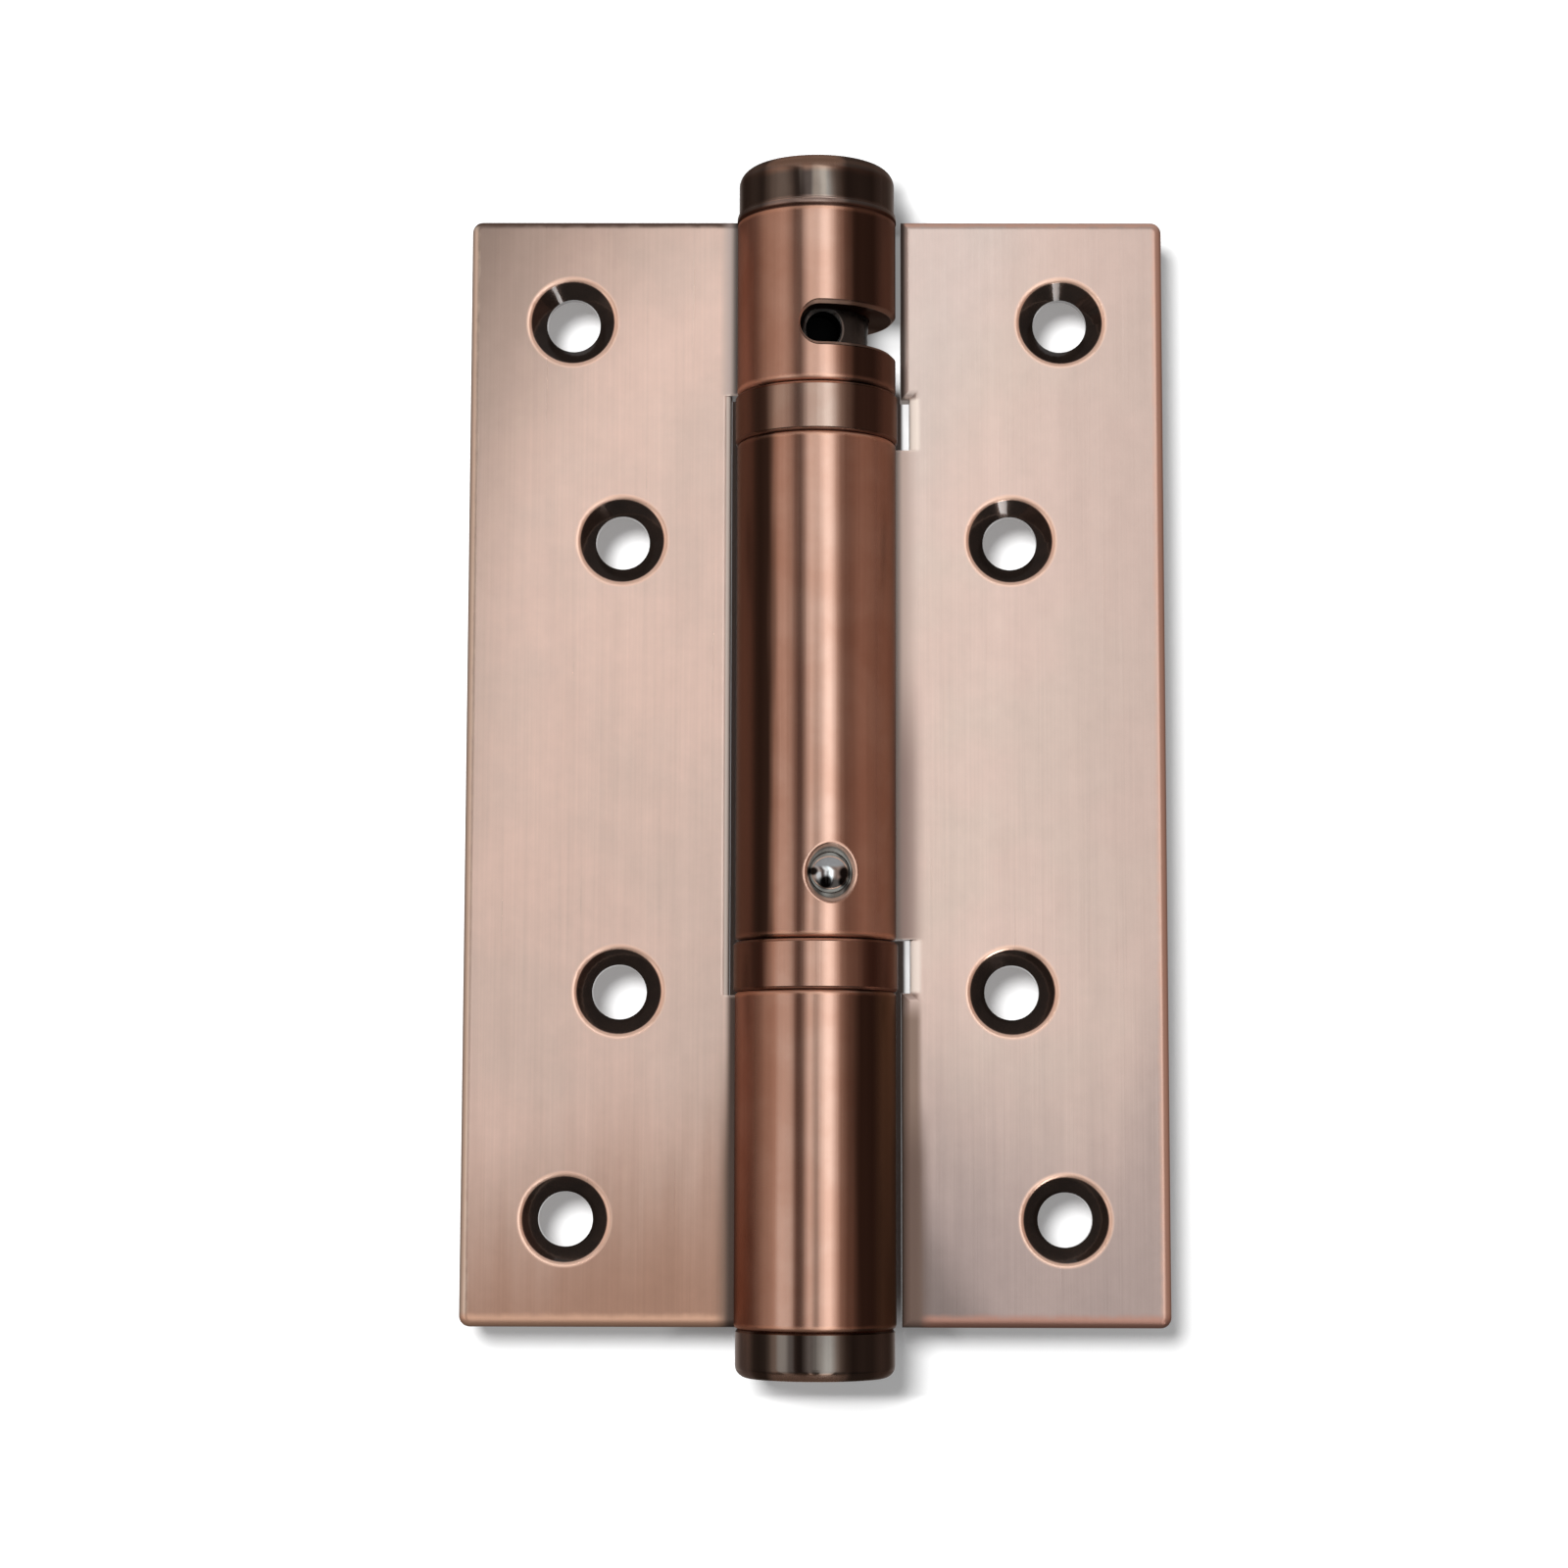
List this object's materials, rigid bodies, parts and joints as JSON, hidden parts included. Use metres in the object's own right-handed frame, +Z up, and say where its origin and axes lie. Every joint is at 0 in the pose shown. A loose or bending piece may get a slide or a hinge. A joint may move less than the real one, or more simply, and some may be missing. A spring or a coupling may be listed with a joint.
{
  "type": "spring hinge",
  "caption": "Self-closing door hinge: flat countersunk leaves on a tubular barrel with an inner torsion spring, ball-bearing rings, a slotted tension adjuster and round-edged end caps.",
  "frame": {"origin": "on the barrel axis at half the height of the leaves, with the hinge opened flat", "axes": "+Z up along the barrel axis towards the slotted end, +X from the axis to the door leaf, +Y out of the leaves' back faces, so -Y is the side with the countersinks"},
  "size_m": [0.08, 0.0186, 0.1378],
  "materials": {
    "leaf_copper": "antique red copper plate on steel, brushed along the barrel",
    "tube_copper": "antique red copper plate on steel, polished and finely brushed",
    "dark_bronze": "blackened copper plate, worn bright at its edges",
    "dark_steel": "oiled dark steel",
    "bright_steel": "polished hardened steel",
    "spring_steel": "oil-tempered spring steel",
    "cage_nylon": "natural nylon"
  },
  "bodies": {
    "frame_side": {"frame_leaf": "leaf_copper", "top_tube": "tube_copper", "bottom_tube": "tube_copper", "top_cap": "dark_bronze", "bottom_cap": "dark_bronze", "upper_bearing_top_race": "bright_steel", "lower_bearing_case": "tube_copper", "lower_bearing_base_race": "bright_steel", "lower_bearing_balls": "bright_steel", "lower_bearing_cage": "cage_nylon"},
    "door_side": {"door_leaf": "leaf_copper", "middle_tube": "tube_copper", "lower_core": "dark_steel", "anchor_pin": "bright_steel", "guide_rod": "dark_steel", "torsion_spring": "spring_steel", "upper_bearing_case": "dark_bronze", "upper_bearing_base_race": "bright_steel", "upper_bearing_balls": "bright_steel", "upper_bearing_cage": "cage_nylon", "lower_bearing_top_race": "bright_steel"},
    "adjuster": {"tension_adjuster": "dark_steel"}
  },
  "joints": [
    {"name": "leaf_swing", "type": "hinge", "parent": "frame_side", "child": "door_side", "pos_m": [0, 0, 0], "axis": [0, 0, -1], "range_deg": [0, 180]},
    {"name": "spring_winding", "type": "hinge", "parent": "door_side", "child": "adjuster", "pos_m": [0, 0, 0.0491], "axis": [0, 0, -1], "range_deg": [0, 180], "stiffness_Nm_per_rad": 0.57, "deforming": ["torsion_spring"]}
  ]
}
